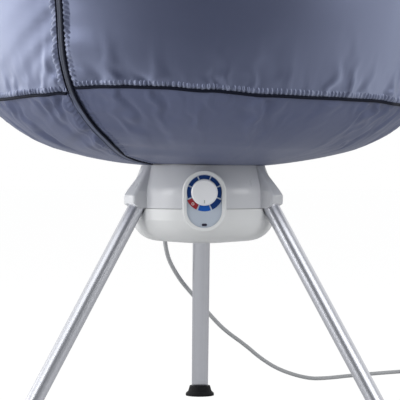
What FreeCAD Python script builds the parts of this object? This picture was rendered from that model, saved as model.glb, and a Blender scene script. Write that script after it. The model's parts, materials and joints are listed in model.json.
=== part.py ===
import FreeCAD, Part
import math
import os

os.makedirs("parts", exist_ok=True)
Vec = FreeCAD.Vector
up = Vec(0, 0, 1)

# Heated drying pod: a fan heater on three legs, a pole with folding hanger arms, and a zipped fabric pod.
# The front is -Y, up is +Z, and the origin lies on the floor under the pole. Lengths are in millimetres.

# Fits
running_gap = 0.05
plug_gap = 0.1
seat_gap = 0.3
overrun = 5.0

# Legs and feet
back_leg_angle = 90
front_left_leg_angle = 210
front_right_leg_angle = 330
leg_lean = 31.2
leg_reach = 295.0
leg_width = 26.0
leg_depth = 22.0
leg_wall = 1.5
leg_end_height = 9.0
leg_top_rise = 24.0
foot_radius = 22.5
foot_rim = 3.5
foot_waist_radius = 18.6
foot_waist_height = 7.5
foot_neck_radius = 16.2
foot_height = 16.0
foot_shift = 4.0

# Housing shells
seam_height = 306.0
seam_gap = 0.6
shell_wall = 2.5
body_radius = 102.0
shoulder_rise = 25.0
shoulder_round = 7.0
deck_radius = 88.0
deck_rise = 60.0
deck_opening_radius = 78.0
neck_radius = 84.0
neck_length = 16.0
bowl_flat_radius = 26.0
bowl_depth = 50.2
bowl_side_depth = 16.0
bowl_turn_shares = ((0.89, 0.49), (0.55, 0.1))
ear_width = 31.0
ear_round = 4.5
ear_inner_radius = 82.0
ear_top_radius = 92.0
ear_top_rise = 59.0
ear_top_width = 12.0
ear_tip_radius = 121.5
ear_tip_rise = 18.0
ear_mouth = 26.8
leg_notch_gap = 1.2
inlet_slot_count = 24
inlet_slot_inner = 30.0
inlet_slot_length = 19.0
inlet_slot_width = 3.4

# Control panel on the front
bezel_front = 110.0
bezel_depth = 24.0
bezel_width = 60.0
bezel_height = 85.0
bezel_rise = 10.8
bezel_round = 2.5
bezel_ledge = 3.0
plate_width = 48.0
plate_thickness = 4.0
plate_recess = 2.0
dial_rise = 12.0
mark_outer_radius = 23.7
mark_inner_radius = 18.4
mark_long_radius = 26.0
long_mark_share = 0.5
mark_thickness = 0.25
mark_count = 8
mark_gap_angle = 5.0
marks_before_off_count = 3
knob_radius = 18.0
knob_length = 11.0
knob_round = 3.0
knob_groove_width = 1.6
knob_groove_length = 5.0
knob_groove_depth = 0.8
timer_shaft_radius = 3.0
timer_shaft_length = 17.0
timer_radius = 18.0
timer_length = 24.0
lens_drop = 32.4
lens_width = 7.0
lens_tall = 3.6
lens_proud = 0.8

# Fan and heater inside the housing
boss_circle_radius = 58.0
boss_radius = 5.0
boss_angles = (30, 150, 270)
motor_plate_radius = 66.0
boss_length = 16.2
motor_plate_thickness = 2.0
motor_vent_radius = 8.0
motor_vent_circle = 44.0
motor_radius = 28.0
motor_length = 28.0
motor_round = 4.0
motor_shaft_radius = 3.0
motor_shaft_inset = 7.0
motor_shaft_length = 43.0
screw_head_radius = 3.5
screw_head_height = 2.4
screw_radius = 1.6
screw_length = 8.0
impeller_hub_radius = 14.0
impeller_hub_length = 16.0
impeller_lift = 4.0
impeller_radius = 60.0
blade_count = 7
blade_chord = 20.0
blade_thickness = 1.8
blade_pitch = 35.0
heater_frame_radius = 68.0
heater_frame_wall = 2.0
heater_flange_radius = 86.0
heater_flange_thickness = 2.5
heater_frame_drop = 31.5
heater_height = 12.0
heater_drop = 28.0
heater_inner_radius = 30.0
heater_ring_wall = 1.6
heater_ring_count = 3
heater_fin_count = 18
cutout_width = 14.0
cutout_height = 10.0
cutout_depth = 8.0
terminal_angle = 125
terminal_radius = 48.0
terminal_length = 22.0
terminal_width = 14.0
terminal_height = 12.0

# Outlet grille with the pole's socket
grille_thickness = 4.0
grille_slot_count = 20
grille_slot_inner = 26.0
grille_slot_outer = 76.0
grille_slot_width = 5.0
socket_radius = 18.0
socket_depth = 26.0
socket_floor = 3.0
socket_rise = 39.0

# Pole
pole_radius = 14.0
pole_wall = 1.5
pole_lower_length = 347.0
pole_middle_length = 350.0
pole_cap_cover = 6.6
coupler_length = 60.0
coupler_radius = 17.0

# Hanger hub and arms
hub_drop = 70.0
hub_radius = 38.0
hub_thickness = 24.0
hub_screw_radius = 3.0
hub_screw_head_radius = 8.0
hub_screw_head_length = 10.0
hub_screw_stand = 6.0
arm_count = 6
arm_first_angle = 15
arm_pivot_radius = 30.0
arm_reach = 254.0
arm_width = 10.0
arm_depth = 14.0
arm_tip_depth = 8.0
arm_tip_rise = 8.0
arm_notch_shares = (0.35, 0.5, 0.65, 0.8)
arm_notch_radius = 3.5
arm_pin_radius = 2.5
arm_pin_length = 22.0
crown_cap_radius = 40.0
crown_cap_thickness = 14.0
finial_radius = 20.0
finial_height = 8.0
finial_round = 3.0

# Fabric pod, measured on its outside
cloth = 2.0
hem_radius = 84.6
low_piping_radius = 304.0
low_piping_rise = 90.4
belly_radius = 345.0
flare_rise = 243.0
belly_length = 450.0
high_piping_radius = 303.0
shoulder_fall = 250.0
crown_edge_radius = 60.0
crown_rise = 206.0
crown_top_rise = 2.0
dish_shares = ((0.294, 0.095), (0.588, 0.268), (0.825, 0.585))
flare_share = (0.74, 0.46)
shoulder_share = (0.76, 0.55)
crown_share = (0.7, 0.36)
piping_radius = 2.2
hem_ring_thickness = 3.2
hem_ring_height = 4.5
zip_angle = 236
zip_tape_width = 12.0
zip_tape_thickness = 1.0
zip_tape_gap = 0.2
slider_width = 12.0
slider_length = 22.0
slider_thickness = 5.0
slider_lift = 26.0
slider_round = 1.5
pull_length = 34.0
pull_width = 7.0
pull_thickness = 1.6
pull_eye_radius = 2.0

# Mains cord
cord_diameter = 6.5
gland_angle = 125
gland_radius = 97.0
gland_drop = 19.0
gland_direction = Vec(0, 0.8, -0.6)
gland_length = 34.0
gland_inside = 6.0
gland_root_radius = 7.0
gland_tip_radius = 4.4
cord_lead = 25.0
cord_route = [
    (-48.0, 148.0, 225.0), (-36.7, 176.0, 200.4), (-24.0, 205.0, 178.6),
    (-4.7, 237.0, 153.0), (21.4, 277.0, 118.2), (41.7, 305.0, 96.5), (74.8, 347.0, 73.1),
    (100.5, 383.0, 48.9), (135.5, 428.0, 23.9), (186.6, 468.0, 4.4), (222.0, 487.0, 3.3),
    (256.0, 516.0, 3.3), (298.0, 545.0, 3.3), (347.0, 566.0, 4.5), (390.0, 587.0, 4.5),
]
coil_radius = 42.0
coil_pitch = 7.1
coil_layer = 7.0
coil_turns_in = 2
coil_turns_out = 1.75
coil_dip = 1.8
coil_tail_length = 24.0
tie_thickness = 1.0
tie_width = 9.0
tie_angle = 290
plug_neck_length = 18.0
plug_neck_radius = 6.0
plug_length = 36.0
plug_width = 35.0
plug_height = 22.0
plug_round = 6.0
plug_pin_radius = 2.4
plug_pin_length = 19.0
plug_pin_spacing = 19.0

leg_angles = {
    "back": back_leg_angle,
    "front_left": front_left_leg_angle,
    "front_right": front_right_leg_angle,
}

# Heights, stacked on the seam between the two shells
leg_top_height = seam_height + leg_top_rise
shoulder_height = seam_height + shoulder_rise
deck_height = seam_height + deck_rise
neck_top = deck_height + neck_length
bowl_bottom = seam_height - bowl_depth
bowl_side_height = seam_height - bowl_side_depth
ear_top_height = seam_height + ear_top_rise
ear_tip_height = seam_height + ear_tip_rise
bezel_middle = seam_height + bezel_rise
dial_height = bezel_middle + dial_rise
lens_height = bezel_middle - lens_drop
motor_plate_height = bowl_bottom + boss_length
heater_low = deck_height - heater_drop
socket_bottom = deck_height - socket_depth
socket_top = deck_height + socket_rise
gland_height = seam_height - gland_drop
hem_height = deck_height + seat_gap * 2
low_piping_height = hem_height + low_piping_rise
belly_bottom = low_piping_height + flare_rise
belly_top = belly_bottom + belly_length
high_piping_height = belly_top + shoulder_fall
crown_edge_height = high_piping_height + crown_rise
pod_top = crown_edge_height + crown_top_rise
hub_height = high_piping_height - hub_drop
slider_height = belly_bottom + slider_lift
cap_top = (crown_edge_height + pod_top) / 2 - cloth - seat_gap * 2
cap_low = cap_top - crown_cap_thickness
pole_top = cap_low + pole_cap_cover


def save(shape, name):
    if not shape.isValid():
        print("invalid", name)
    print(name, "solids", len(shape.Solids), "volume", round(shape.Volume, 1))
    shape.exportStep("parts/" + name + ".step")


def polar(radius, angle, height):
    turn = math.radians(angle)
    return Vec(radius * math.cos(turn), radius * math.sin(turn), height)


def turned(shape, angle):
    copy = shape.copy()
    copy.rotate(Vec(), up, angle)
    return copy


def cylinder(radius, low, high):
    return Part.makeCylinder(radius, high - low, Vec(0, 0, low))


def tube(outer, inner, low, high):
    return cylinder(outer, low, high).cut(cylinder(inner, low, high))


def slab(x_low, x_high, width, low, high):
    return Part.makeBox(x_high - x_low, width, high - low, Vec(x_low, -width / 2, low))


def rod(radius, start, direction, length):
    return Part.makeCylinder(radius, length, start, direction)


def arc_edge(first, middle, last):
    turn = (middle - first).cross(last - first).Length
    if turn < (last - first).Length ** 2 * 1e-6:
        return Part.LineSegment(first, last).toShape()
    return Part.Arc(first, middle, last).toShape()


def arc_chain(points):
    triples = range(0, len(points) - 2, 2)
    return [arc_edge(points[i], points[i + 1], points[i + 2]) for i in triples]


def line_chain(points):
    return [Part.LineSegment(a, b).toShape() for a, b in zip(points, points[1:])]


def revolved(edges, angle=360):
    return Part.Face(Part.Wire(edges)).revolve(Vec(), up, angle)


def spun(corners):
    points = [Vec(radius, 0, height) for radius, height in corners]
    return revolved(line_chain(points + points[:1]))


def between(start, end, share):
    return (start[0] + (end[0] - start[0]) * share[0], start[1] + (end[1] - start[1]) * share[1])


def stadium(width, height, middle, front, depth):
    radius = width / 2
    rise = height / 2 - radius
    points = [
        Vec(radius, -front, middle - rise), Vec(radius, -front, middle + rise),
        Vec(0, -front, middle + rise + radius), Vec(-radius, -front, middle + rise),
        Vec(-radius, -front, middle - rise), Vec(0, -front, middle - rise - radius),
    ]
    edges = [
        Part.LineSegment(points[0], points[1]).toShape(), arc_edge(points[1], points[2], points[3]),
        Part.LineSegment(points[3], points[4]).toShape(), arc_edge(points[4], points[5], points[0]),
    ]
    return Part.Face(Part.Wire(edges)).extrude(Vec(0, depth, 0))


# Legs: oval tubes that lean out from the housing, with rubber feet on the floor
lean_sin = math.sin(math.radians(leg_lean))
lean_cos = math.cos(math.radians(leg_lean))


def leg_point(height):
    return Vec(leg_reach - height * lean_sin / lean_cos, 0, height)


def leg_prism(grow, low, high):
    oval = Part.Ellipse(Vec(), leg_width / 2 + grow, leg_depth / 2 + grow).toShape()
    prism = Part.Face(Part.Wire([oval])).extrude(up * ((high - low) / lean_cos))
    prism.rotate(Vec(), up, 90)
    prism.rotate(Vec(), Vec(0, 1, 0), -leg_lean)
    prism.translate(leg_point(low))
    return prism


leg_solid = leg_prism(0, leg_end_height, leg_top_height)
leg_solid = leg_solid.cut(leg_prism(-leg_wall, leg_end_height - overrun, leg_top_height + overrun))
foot_middle = leg_point(foot_height).x
foot_rings = [
    (foot_shift, 0, foot_radius), (foot_shift, foot_rim, foot_radius),
    (foot_shift / 2, foot_waist_height, foot_waist_radius), (0, foot_height, foot_neck_radius),
]
foot_circles = []
for shift, height, radius in foot_rings:
    ring = Part.Circle(Vec(foot_middle + shift, 0, height), up, radius).toShape()
    foot_circles.append(Part.Wire([ring]))
foot_solid = Part.makeLoft(foot_circles, True, True)
foot_solid = foot_solid.cut(leg_prism(plug_gap, leg_end_height - plug_gap, leg_top_height))
for name, angle in leg_angles.items():
    save(turned(leg_solid, angle), "leg_" + name)
    save(turned(foot_solid, angle), "foot_" + name)

# Upper shell: a round body under a sloping shoulder, with a deck, a neck and an ear over each leg
mouth_middle = leg_point(seam_height)
mouth_edge = mouth_middle + Vec(lean_cos, 0, lean_sin) * (ear_mouth / 2)
slope = Vec(deck_radius - body_radius, 0, deck_height - shoulder_height)
slope.normalize()
shoulder = Vec(body_radius, 0, shoulder_height)
shoulder_points = [shoulder - up * shoulder_round, shoulder, shoulder + slope * shoulder_round]
shoulder_points[1] = shoulder * 0.5 + (shoulder_points[0] + shoulder_points[2]) * 0.25


def moved_in(point, wall):
    return point - Vec(wall, 0, 0)


deck_under = deck_height - shell_wall
flange_low = deck_under - heater_flange_thickness
neck_inner_radius = neck_radius - shell_wall
outside = [Vec(body_radius, 0, seam_height), shoulder_points[0]]
top_points = [
    shoulder_points[2], Vec(deck_radius, 0, deck_height), Vec(neck_radius, 0, deck_height),
    Vec(neck_radius, 0, neck_top), Vec(neck_inner_radius, 0, neck_top),
    Vec(neck_inner_radius, 0, deck_height),
    Vec(deck_opening_radius, 0, deck_height), Vec(deck_opening_radius, 0, deck_under),
    Vec(deck_radius - shell_wall / 2, 0, deck_under), moved_in(shoulder_points[2], shell_wall),
]
inside = [moved_in(outside[1], shell_wall), moved_in(outside[0], shell_wall), outside[0]]
upper_edges = line_chain(outside) + [arc_edge(*shoulder_points)] + line_chain(top_points)
upper_edges += [arc_edge(*[moved_in(point, shell_wall) for point in reversed(shoulder_points)])]
upper_edges += line_chain(inside)
upper_shell = revolved(upper_edges)

ear_inside = heater_flange_radius + seat_gap
ear_corners = [
    Vec(ear_inner_radius, 0, seam_height), Vec(ear_inner_radius, 0, leg_top_height),
    Vec(ear_inside, 0, flange_low), Vec(ear_inside, 0, ear_top_height),
    Vec(ear_top_radius, 0, ear_top_height), Vec(ear_tip_radius, 0, ear_tip_height),
    mouth_edge, mouth_middle,
]
ear = Part.Face(Part.Wire(line_chain(ear_corners + ear_corners[:1]))).extrude(Vec(0, ear_width, 0))
ear.translate(Vec(0, -ear_width / 2, 0))
for side in (-1, 1):
    taper_corners = [
        Vec(0, side * ear_width / 2, leg_top_height), Vec(0, side * (ear_width / 2 + overrun), ear_top_height),
        Vec(0, side * ear_top_width / 2, ear_top_height),
    ]
    taper = Part.Face(Part.Wire(line_chain(taper_corners + taper_corners[:1])))
    ear = ear.cut(taper.extrude(Vec(ear_tip_radius + overrun, 0, 0)))
ear_edges = [edge for edge in ear.Edges if edge.CenterOfMass.z > mouth_edge.z + seat_gap]
ear_edges = [edge for edge in ear_edges if edge.CenterOfMass.x > ear_top_radius + seat_gap]
ear = ear.makeFillet(ear_round, ear_edges)
leg_bore = leg_prism(plug_gap, seam_height - foot_height, leg_top_height + plug_gap)
bezel_hole = stadium(bezel_width + seat_gap, bezel_height + seat_gap, bezel_middle, bezel_front + overrun,
                     bezel_depth + overrun * 2)
upper_shell = upper_shell.fuse([turned(ear, angle) for angle in leg_angles.values()]).removeSplitter()
for angle in leg_angles.values():
    upper_shell = upper_shell.cut(turned(leg_bore, angle))
upper_shell = upper_shell.cut(bezel_hole)
save(upper_shell, "upper_shell")

# Lower shell: a bowl with air inlets, bosses for the motor plate, leg notches and the cord's hole
rim_height = seam_height - seam_gap
bowl_start = (body_radius, bowl_side_height)


def bowl_solid(wall):
    turns = [between((bowl_flat_radius, bowl_bottom), bowl_start, share) for share in bowl_turn_shares]
    radii = [body_radius, body_radius, turns[0][0], turns[1][0], bowl_flat_radius]
    heights = [rim_height, bowl_side_height, turns[0][1], turns[1][1], bowl_bottom]
    lifts = [0, 0, wall * lean_sin, wall, wall]
    draws = [wall, wall, wall * lean_cos, wall / 2, 0]
    points = [Vec(r - draw, 0, h + lift) for r, h, draw, lift in zip(radii, heights, draws, lifts)]
    rim, side, turn, low, flat = points
    edges = [Part.LineSegment(rim, side).toShape(), arc_edge(side, turn, low)]
    edges += line_chain([low, flat, Vec(0, 0, flat.z), Vec(0, 0, rim.z), rim])
    return revolved(edges)


bowl_outer = bowl_solid(0)
lower_shell = bowl_outer.cut(bowl_solid(shell_wall))
for angle in boss_angles:
    boss = cylinder(boss_radius, bowl_bottom, motor_plate_height)
    boss.translate(polar(boss_circle_radius, angle, 0))
    lower_shell = lower_shell.fuse(boss.common(bowl_outer))
    hole_top = motor_plate_height + overrun
    hole = cylinder(screw_radius + plug_gap, motor_plate_height - screw_length, hole_top)
    hole.translate(polar(boss_circle_radius, angle, 0))
    lower_shell = lower_shell.cut(hole)
inlet_slot = slab(inlet_slot_inner, inlet_slot_inner + inlet_slot_length, inlet_slot_width,
                  bowl_bottom - overrun, bowl_bottom + overrun * 2)
for step in range(inlet_slot_count):
    lower_shell = lower_shell.cut(turned(inlet_slot, (step + 0.5) * 360 / inlet_slot_count))
leg_notch = leg_prism(leg_notch_gap, bowl_bottom, leg_top_height)
for angle in leg_angles.values():
    lower_shell = lower_shell.cut(turned(leg_notch, angle))
lower_shell = lower_shell.cut(bezel_hole)

gland_start = polar(gland_radius, gland_angle, gland_height) - gland_direction * gland_inside
cord_start = gland_start + gland_direction * gland_length


def gland_cone(grow, length):
    root_radius = gland_root_radius + grow
    tip_radius = gland_tip_radius + grow
    return Part.makeCone(root_radius, tip_radius, length, gland_start, gland_direction)


lower_shell = lower_shell.cut(gland_cone(plug_gap, gland_length))
save(lower_shell, "lower_shell")
save(gland_cone(0, gland_length), "strain_relief")

# Control panel: bezel, recessed plate with printed marks, lamp lens, timer and its knob
bezel = stadium(bezel_width, bezel_height, bezel_middle, bezel_front, bezel_depth)
bezel_edges = [edge for edge in bezel.Edges if edge.BoundBox.YMax < -bezel_front + seat_gap]
bezel = bezel.makeFillet(bezel_round, bezel_edges)
plate_height = bezel_height - (bezel_width - plate_width)
plate_front = bezel_front - plate_recess
plate_back = plate_front - plate_thickness
bezel = bezel.cut(stadium(plate_width + plug_gap * 2, plate_height + plug_gap * 2, bezel_middle,
                          bezel_front + overrun, overrun + plate_recess + plate_thickness))
bezel = bezel.cut(stadium(plate_width - bezel_ledge * 2, plate_height - bezel_ledge * 2, bezel_middle,
                          bezel_front, bezel_depth))
save(bezel, "dial_bezel")
inward = Vec(0, 1, 0)
dial_plate = stadium(plate_width, plate_height, bezel_middle, plate_front, plate_thickness)
dial_plate = dial_plate.cut(rod(timer_shaft_radius + plug_gap, Vec(0, -bezel_front, dial_height), inward,
                                bezel_depth))
save(dial_plate, "dial_plate")

dial_centre = Vec(0, -plate_front, dial_height)
mark_step = 360 / mark_count
marks = []
for step in range(mark_count):
    low_mark = math.sin(math.radians(step * mark_step)) > long_mark_share
    outer_radius = mark_long_radius if low_mark else mark_outer_radius
    mark_face = Part.makePlane(outer_radius - mark_inner_radius, mark_thickness, Vec(), up)
    mark_face.translate(Vec(mark_inner_radius, -plate_front - mark_thickness, dial_height))
    mark = mark_face.revolve(dial_centre, inward, mark_step - mark_gap_angle)
    mark.rotate(dial_centre, inward, (step - 0.5) * mark_step + mark_gap_angle / 2)
    marks.append(mark)
off_mark = marks.pop(marks_before_off_count)
save(Part.makeCompound(marks), "dial_marks")
save(off_mark, "off_mark")
lens = stadium(lens_tall, lens_width, lens_height, plate_front + lens_proud, lens_proud)
lens.rotate(Vec(0, 0, lens_height), inward, 90)
save(lens, "indicator_lens")

knob_back = plate_front + mark_thickness + seat_gap
knob = rod(knob_radius, Vec(0, -knob_back - knob_length, dial_height), inward, knob_length)
knob_edges = [edge for edge in knob.Edges if edge.BoundBox.YMax < -knob_back - knob_length + seat_gap]
knob = knob.makeFillet(knob_round, knob_edges)
groove = Part.makeBox(knob_groove_width, knob_groove_depth * 2, knob_groove_length)
groove.translate(Vec(-knob_groove_width / 2, -knob_back - knob_length - knob_groove_depth,
                     dial_height - knob_radius + knob_round))
knob = knob.cut(groove)
shaft_front = knob_back + knob_length / 2
shaft_start = Vec(0, -shaft_front, dial_height)
knob = knob.cut(rod(timer_shaft_radius + running_gap, shaft_start, inward, knob_length))
save(knob, "timer_knob")
save(rod(timer_shaft_radius, shaft_start, inward, timer_shaft_length), "timer_shaft")
timer = rod(timer_radius, Vec(0, -plate_back, dial_height), inward, timer_length)
timer = timer.cut(rod(timer_shaft_radius + running_gap, shaft_start, inward, timer_shaft_length + seat_gap))
save(timer, "timer_unit")

# Fan: motor on a vented plate, with the impeller on its shaft
plate_top = motor_plate_height + motor_plate_thickness
motor_plate = cylinder(motor_plate_radius, motor_plate_height, plate_top)
screws = []
for angle in boss_angles:
    hole = cylinder(screw_radius + plug_gap, motor_plate_height, plate_top)
    hole.translate(polar(boss_circle_radius, angle, 0))
    vent = cylinder(motor_vent_radius, motor_plate_height, plate_top)
    motor_plate = motor_plate.cut(hole)
    for turn in (-30, 30, 60):
        vent_copy = vent.copy()
        vent_copy.translate(polar(motor_vent_circle, angle + turn, 0))
        motor_plate = motor_plate.cut(vent_copy)
    screw = cylinder(screw_radius, plate_top - screw_length, plate_top)
    screw = screw.fuse(cylinder(screw_head_radius, plate_top, plate_top + screw_head_height))
    screw.translate(polar(boss_circle_radius, angle, 0))
    screws.append(screw)
save(motor_plate, "motor_plate")
save(Part.makeCompound(screws), "motor_screws")
motor_top = plate_top + motor_length
motor_shaft_bottom = plate_top + motor_shaft_inset
motor_shaft_top = motor_shaft_bottom + motor_shaft_length
motor = cylinder(motor_radius, plate_top, motor_top)
motor_edges = [edge for edge in motor.Edges if edge.BoundBox.ZMin > motor_top - seat_gap]
motor = motor.makeFillet(motor_round, motor_edges)
motor = motor.cut(cylinder(motor_shaft_radius + running_gap, motor_shaft_bottom - seat_gap, motor_top))
save(motor, "fan_motor")
save(cylinder(motor_shaft_radius, motor_shaft_bottom, motor_shaft_top), "motor_shaft")
impeller_low = motor_top + impeller_lift
impeller = cylinder(impeller_hub_radius, impeller_low, impeller_low + impeller_hub_length)
blade = slab(impeller_hub_radius - motor_shaft_radius, impeller_radius, blade_chord,
             -blade_thickness / 2, blade_thickness / 2)
blade.rotate(Vec(), Vec(1, 0, 0), blade_pitch)
blade.translate(up * (impeller_low + impeller_hub_length / 2))
impeller = impeller.fuse([turned(blade, step * 360 / blade_count) for step in range(blade_count)])
bore_top = motor_shaft_top + overrun
impeller = impeller.cut(cylinder(motor_shaft_radius + running_gap, impeller_low - overrun, bore_top))
save(impeller.removeSplitter(), "fan_impeller")

# Heater: finned rings in a frame that hangs under the deck, with a thermal cut-out
frame_inner = heater_frame_radius - heater_frame_wall
frame_low = deck_under - heater_frame_drop
heater_frame = spun([
    (frame_inner, frame_low), (heater_frame_radius, frame_low), (heater_frame_radius, flange_low),
    (heater_flange_radius, flange_low), (heater_flange_radius, deck_under), (frame_inner, deck_under),
])
save(heater_frame, "heater_frame")
heater_outer = frame_inner - seat_gap
ring_step = (heater_outer - heater_inner_radius) / (heater_ring_count - 1)
heater = None
for step in range(heater_ring_count):
    edge_radius = heater_inner_radius + step * (ring_step - heater_ring_wall / 2)
    ring = tube(edge_radius + heater_ring_wall, edge_radius, heater_low, heater_low + heater_height)
    heater = ring if heater is None else heater.fuse(ring)
fin_start = heater_inner_radius + heater_ring_wall / 2
fin_end = heater_outer - heater_ring_wall / 2
fin = slab(fin_start, fin_end, heater_ring_wall, heater_low, heater_low + heater_height)
heater = heater.fuse([turned(fin, step * 360 / heater_fin_count) for step in range(heater_fin_count)])
save(heater.removeSplitter(), "heater_element")
cutout = slab(heater_frame_radius + plug_gap, heater_frame_radius + cutout_depth, cutout_width, heater_low,
              heater_low + cutout_height)
save(cutout, "thermal_cutout")
terminal = slab(terminal_radius - terminal_width / 2, terminal_radius + terminal_width / 2, terminal_length,
                plate_top, plate_top + terminal_height)
save(turned(terminal, terminal_angle), "terminal_block")

# Outlet grille on the deck, with the socket that carries the pole
grille_top = deck_height + grille_thickness
grille = cylinder(neck_inner_radius - seat_gap, deck_height, grille_top)
grille_slot = slab(grille_slot_inner, grille_slot_outer, grille_slot_width, deck_height, grille_top)
for step in range(grille_slot_count):
    grille = grille.cut(turned(grille_slot, step * 360 / grille_slot_count))
grille = grille.fuse(cylinder(socket_radius, socket_bottom, socket_top))
pole_bottom = socket_bottom + socket_floor
grille = grille.cut(cylinder(pole_radius + plug_gap, pole_bottom, socket_top + overrun))
save(grille.removeSplitter(), "outlet_grille")

# Pole in three lengths, joined by sleeves
lower_joint = pole_bottom + pole_lower_length
pole_joints = (lower_joint, lower_joint + pole_middle_length)
pole_ends = (pole_bottom,) + pole_joints + (pole_top,)
for name, low, high in zip(("lower", "middle", "upper"), pole_ends, pole_ends[1:]):
    save(tube(pole_radius, pole_radius - pole_wall, low, high), "pole_" + name)
for name, joint in zip(("lower", "upper"), pole_joints):
    coupler_low = joint - coupler_length / 2
    coupler = tube(coupler_radius, pole_radius + plug_gap, coupler_low, coupler_low + coupler_length)
    save(coupler, "pole_coupler_" + name)

# Hanger hub with a slot for each arm: an arm rests on its slot's floor and folds up about its pin
hub_low = hub_height - hub_thickness / 2
hub_high = hub_height + hub_thickness / 2
hub = tube(hub_radius, pole_radius + plug_gap, hub_low, hub_high)
arm_angles = [arm_first_angle + step * 360 / arm_count for step in range(arm_count)]
arm_half = arm_depth / 2
arm_slot = slab(arm_pivot_radius - arm_half - seat_gap, hub_radius + overrun, arm_width + seat_gap * 2,
                hub_height - arm_half - seat_gap, hub_high + overrun)
pivot = Vec(arm_pivot_radius, 0, hub_height)
sideways = Vec(0, 1, 0)
pin_start = pivot - sideways * (arm_pin_length / 2)
for angle in arm_angles:
    hub = hub.cut(turned(arm_slot, angle))
    hub = hub.cut(turned(rod(arm_pin_radius + running_gap, pin_start, sideways, arm_pin_length), angle))
screw_angle = arm_first_angle + 180 / arm_count
screw_start = Vec(pole_radius + seat_gap, 0, hub_height)
screw_shank = hub_radius + hub_screw_stand - screw_start.x
radial = Vec(1, 0, 0)
screw_hole = rod(hub_screw_radius + plug_gap, Vec(0, 0, hub_height), radial, hub_radius + overrun)
hub = hub.cut(turned(screw_hole, screw_angle))
save(hub, "hanger_hub")
hub_screw = rod(hub_screw_radius, screw_start, radial, screw_shank)
hub_screw = hub_screw.fuse(rod(hub_screw_head_radius, screw_start + radial * screw_shank, radial,
                               hub_screw_head_length))
save(turned(hub_screw, screw_angle), "hub_screw")
arm_pin = rod(arm_pin_radius, pin_start, sideways, arm_pin_length)
save(Part.makeCompound([turned(arm_pin, angle) for angle in arm_angles]), "arm_pins")

arm_top = hub_height + arm_half
arm_corners = [
    Vec(arm_pivot_radius, 0, arm_top), Vec(arm_reach - arm_tip_depth, 0, arm_top),
    Vec(arm_reach - arm_tip_depth, 0, arm_top + arm_tip_rise), Vec(arm_reach, 0, arm_top + arm_tip_rise),
    Vec(arm_reach, 0, arm_top - arm_tip_depth), Vec(hub_radius + arm_depth * 2, 0, hub_height - arm_half),
    Vec(arm_pivot_radius, 0, hub_height - arm_half),
]
arm_edges = line_chain(arm_corners)
arm_edges.append(arc_edge(arm_corners[-1], Vec(arm_pivot_radius - arm_half, 0, hub_height), arm_corners[0]))
arm = Part.Face(Part.Wire(arm_edges)).extrude(sideways * arm_width)
arm.translate(sideways * (-arm_width / 2))
for share in arm_notch_shares:
    notch_place = Vec(arm_reach * share, -arm_width, arm_top)
    arm = arm.cut(rod(arm_notch_radius, notch_place, sideways, arm_width * 2))
arm = arm.cut(rod(arm_pin_radius + running_gap, pin_start, sideways, arm_pin_length))
for step, angle in enumerate(arm_angles):
    save(turned(arm, angle), "hanger_arm_" + str(step + 1))

# Cap on the pole, under the pod's crown
crown_cap = cylinder(crown_cap_radius, cap_low, cap_top)
finial = cylinder(finial_radius, cap_low, pod_top + finial_height)
finial_edges = [edge for edge in finial.Edges if edge.BoundBox.ZMin > pod_top]
crown_cap = crown_cap.fuse(finial.makeFillet(finial_round, finial_edges[:1])).removeSplitter()
crown_cap = crown_cap.cut(cylinder(pole_radius + plug_gap, cap_low, pole_top))
save(crown_cap, "crown_cap")

# Fabric pod: one outline from the hem to the top, worked into a dish, two side panels and a crown
hem = (hem_radius, hem_height)
low_seam = (low_piping_radius, low_piping_height)
belly_low = (belly_radius, belly_bottom)
belly_high = (belly_radius, belly_top)
high_seam = (high_piping_radius, high_piping_height)
crown_edge = (crown_edge_radius, crown_edge_height)
pod_outline = [hem] + [between(hem, low_seam, share) for share in dish_shares] + [low_seam]
dish_last = len(pod_outline) - 1
pod_outline += [between(low_seam, belly_low, flare_share), belly_low]
pod_outline += [between(belly_low, belly_high, (0.5, 0.5)), belly_high]
pod_outline += [between(high_seam, belly_high, shoulder_share), high_seam]
side_last = len(pod_outline) - 1
pod_outline += [between(crown_edge, high_seam, crown_share), crown_edge]
eyelet = (finial_radius + seat_gap, pod_top)
pod_outline += [between(crown_edge, eyelet, (0.5, 0.5)), eyelet]
pod_points = [Vec(radius, 0, height) for radius, height in pod_outline]


def outward(index):
    if pod_outline[index][0] == belly_radius:
        return radial
    before = pod_points[max(index - 1, 0)]
    after = pod_points[min(index + 1, len(pod_points) - 1)]
    along = after - before
    along.normalize()
    return Vec(along.z, 0, -along.x)


def pod_line(offset, first, last):
    return [pod_points[i] + outward(i) * offset for i in range(first, last + 1)]


def pod_section(near, far, first, last):
    outer = pod_line(far, first, last)
    inner = pod_line(near, first, last)
    edges = arc_chain(outer) + line_chain([outer[-1], inner[-1]])
    return edges + arc_chain(inner[::-1]) + line_chain([inner[0], outer[0]])


def pod_cloth(first, last, angle):
    return revolved(pod_section(-cloth, 0, first, last), angle)


save(pod_cloth(0, dish_last, 360), "pod_dish")
side_panel = pod_cloth(dish_last, side_last, 180)
save(turned(side_panel, zip_angle), "pod_front")
save(turned(side_panel, zip_angle + 180), "pod_back")
save(pod_cloth(side_last, len(pod_points) - 1, 360), "pod_crown")
hem_ring_low = hem_height + cloth + seat_gap * 2
hem_ring_inner = neck_radius + seat_gap
hem_ring_outer = hem_ring_inner + hem_ring_thickness
save(tube(hem_ring_outer, hem_ring_inner, hem_ring_low, hem_ring_low + hem_ring_height), "hem_ring")

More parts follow.
